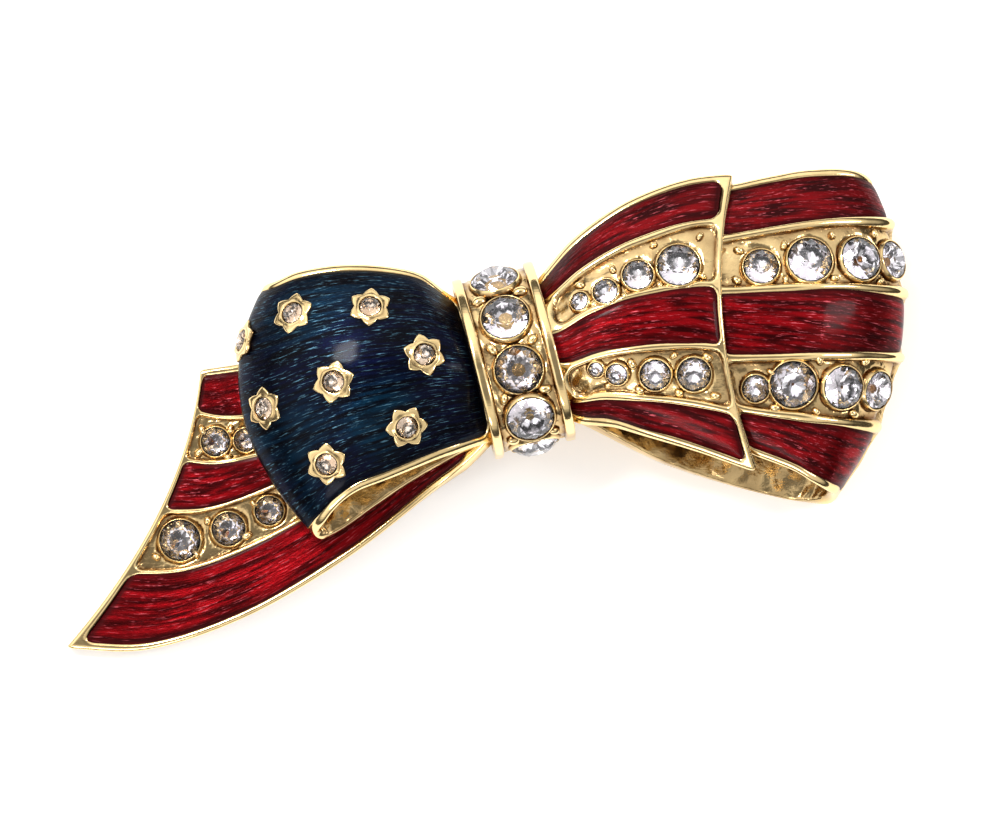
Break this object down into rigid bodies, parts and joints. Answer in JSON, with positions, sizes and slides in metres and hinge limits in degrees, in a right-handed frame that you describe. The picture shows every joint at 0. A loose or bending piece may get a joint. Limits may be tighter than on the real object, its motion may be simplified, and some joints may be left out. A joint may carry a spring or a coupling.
{
  "type": "bow brooch",
  "caption": "Brooch in the form of a tied ribbon bow, cast in gold-coloured metal, with striped and starred enamel, clear round stones and a plain pin fitting behind.",
  "frame": {"origin": "centre of the bow's outline, on the plane it rests on", "axes": "+X from the tip of the tail towards the right loop, +Y towards the top of the bow, +Z out of its front"},
  "size_m": [0.0708, 0.0402, 0.0136],
  "materials": {
    "gold": "polished gold plate",
    "blue_enamel": "glossy translucent enamel",
    "red_enamel": "glossy translucent enamel",
    "stone": "clear cut glass over foil"
  },
  "bodies": {
    "root": {"cast_ribbon": "gold", "knot_band": "gold", "pin_finding": "gold", "blue_enamel": "blue_enamel", "red_enamel_loop_1": "red_enamel", "red_enamel_loop_2": "red_enamel", "red_enamel_loop_3": "red_enamel", "red_enamel_short_1": "red_enamel", "red_enamel_short_2": "red_enamel", "red_enamel_short_3": "red_enamel", "red_enamel_tail_1": "red_enamel", "red_enamel_tail_2": "red_enamel", "red_enamel_tail_3": "red_enamel", "stone_band_1": "stone", "stone_band_2": "stone", "stone_band_3": "stone", "stone_band_4": "stone", "stone_band_5": "stone", "stone_loop_1": "stone", "stone_loop_2": "stone", "stone_loop_3": "stone", "stone_loop_4": "stone", "stone_loop_5": "stone", "stone_loop_6": "stone", "stone_loop_7": "stone", "stone_loop_8": "stone", "stone_short_1": "stone", "stone_short_2": "stone", "stone_short_3": "stone", "stone_short_4": "stone", "stone_short_5": "stone", "stone_short_6": "stone", "stone_short_7": "stone", "stone_short_8": "stone", "stone_star_1": "stone", "stone_star_2": "stone", "stone_star_3": "stone", "stone_star_4": "stone", "stone_star_5": "stone", "stone_star_6": "stone", "stone_star_7": "stone", "stone_star_8": "stone", "stone_tail_1": "stone", "stone_tail_2": "stone", "stone_tail_3": "stone", "stone_tail_4": "stone", "stone_tail_5": "stone", "stone_tail_6": "stone"}
  },
  "joints": []
}
